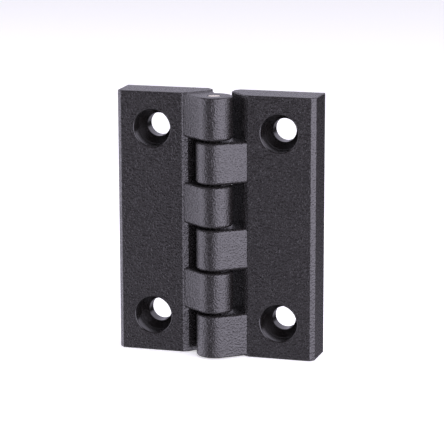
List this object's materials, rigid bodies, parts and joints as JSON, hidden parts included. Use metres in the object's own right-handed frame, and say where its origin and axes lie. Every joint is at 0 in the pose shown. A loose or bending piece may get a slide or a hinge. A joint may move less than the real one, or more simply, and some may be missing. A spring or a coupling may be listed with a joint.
{
  "type": "plastic leaf hinge",
  "caption": "Black moulded leaf hinge with screw holes sunk deep into both leaves, turning on a steel pin through interleaved knuckles.",
  "frame": {"origin": "middle of the open hinge's footprint, at the lower ends of its leaves", "axes": "+Z along the pin, upwards; -Y out of the front faces; +X towards the right leaf"},
  "size_m": [0.05, 0.014, 0.065],
  "materials": {
    "left_leaf": "black glass-filled polyamide, fine moulded grain",
    "right_leaf": "black glass-filled polyamide, fine moulded grain",
    "hinge_pin": "bright turned stainless steel"
  },
  "bodies": {
    "fixed_leaf": {"left_leaf": "left_leaf", "hinge_pin": "hinge_pin"},
    "moving_leaf": {"right_leaf": "right_leaf"}
  },
  "joints": [
    {"name": "leaf_turn", "type": "hinge", "parent": "fixed_leaf", "child": "moving_leaf", "pos_m": [0, -0.0025, 0.0325], "axis": [0, 0, -1], "range_deg": [-35, 180]}
  ]
}
